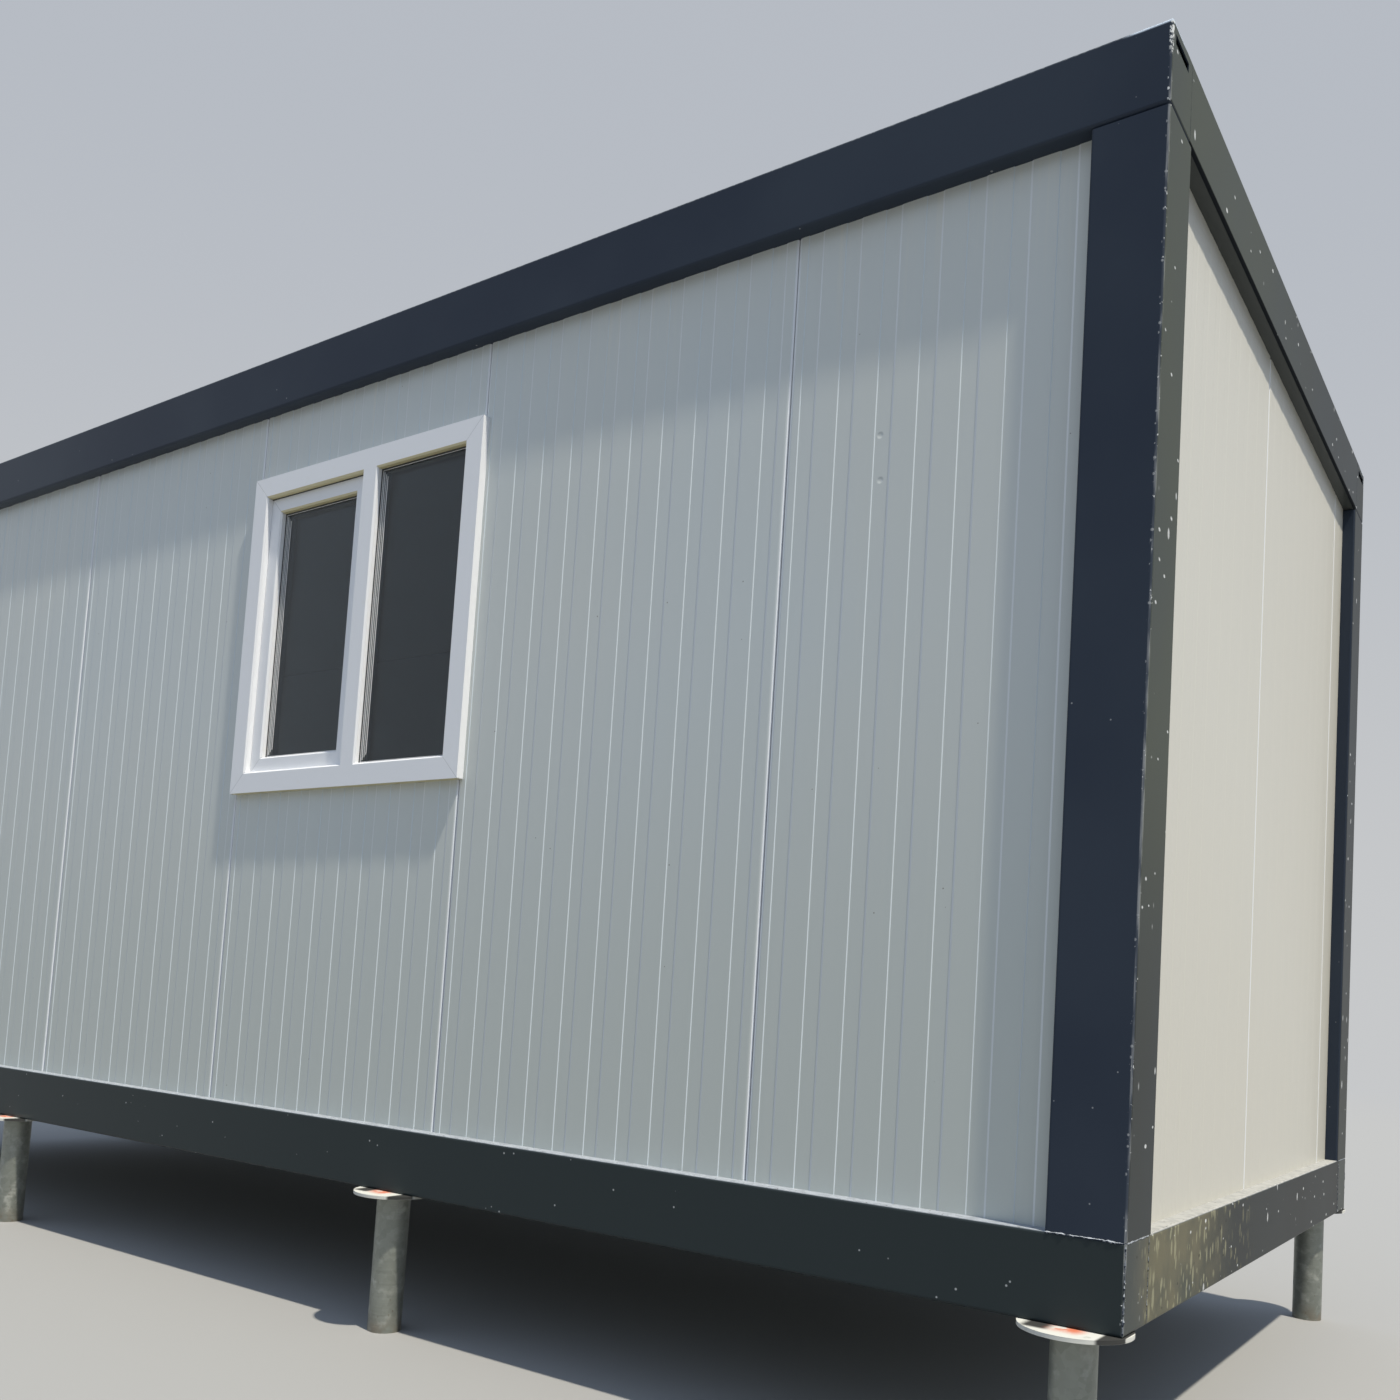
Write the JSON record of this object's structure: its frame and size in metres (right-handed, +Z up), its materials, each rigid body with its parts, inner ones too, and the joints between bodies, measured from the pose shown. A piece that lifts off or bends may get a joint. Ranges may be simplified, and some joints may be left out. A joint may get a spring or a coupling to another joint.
{
  "type": "portable site cabin",
  "caption": "Flat-roofed site cabin with a folded steel frame, ribbed sandwich panel walls, a two-light window, a plain door and round pile feet.",
  "frame": {"origin": "middle of the footprint at ground level", "axes": "+X along the length to the end shown in the picture, front with the window at -Y, +Z up"},
  "size_m": [6.015, 2.549, 2.89],
  "materials": {
    "frame_paint": "glossy anthracite paint",
    "panel_skin": "satin off-white coil coating",
    "roof_skin": "satin off-white coil coating",
    "window_plastic": "smooth white",
    "window_glass": "clear",
    "spacer_bar": "satin",
    "handle_metal": "satin",
    "galvanised_steel": "hot-dip galvanised",
    "floor_board": "plain board"
  },
  "bodies": {
    "root": {"base_beam_front": "frame_paint", "base_beam_left": "frame_paint", "base_beam_rear": "frame_paint", "base_beam_right": "frame_paint", "corner_post_front_left": "frame_paint", "corner_post_front_right": "frame_paint", "corner_post_rear_left": "frame_paint", "corner_post_rear_right": "frame_paint", "door_frame": "window_plastic", "door_handle": "handle_metal", "door_leaf": "window_plastic", "door_panel_upper": "panel_skin", "floor_deck": "floor_board", "floor_joists": "galvanised_steel", "floor_trays": "galvanised_steel", "front_panel_1": "panel_skin", "front_panel_2": "panel_skin", "front_panel_4": "panel_skin", "front_panel_5": "panel_skin", "glazing_beads": "window_plastic", "glazing_spacers": "spacer_bar", "left_panel_1": "panel_skin", "left_panel_2": "panel_skin", "left_panel_3": "panel_skin", "pile_front_1": "galvanised_steel", "pile_front_2": "galvanised_steel", "pile_front_3": "galvanised_steel", "pile_front_4": "galvanised_steel", "pile_rear_1": "galvanised_steel", "pile_rear_2": "galvanised_steel", "pile_rear_3": "galvanised_steel", "pile_rear_4": "galvanised_steel", "rear_panels": "panel_skin", "right_panel_1": "panel_skin", "right_panel_2": "panel_skin", "right_panel_3": "panel_skin", "roof_beam_front": "frame_paint", "roof_beam_left": "frame_paint", "roof_beam_rear": "frame_paint", "roof_beam_right": "frame_paint", "roof_panels": "roof_skin", "window_frame": "window_plastic", "window_glass": "window_glass", "window_panel_lower": "panel_skin", "window_panel_upper": "panel_skin", "window_sash": "window_plastic"}
  },
  "joints": []
}
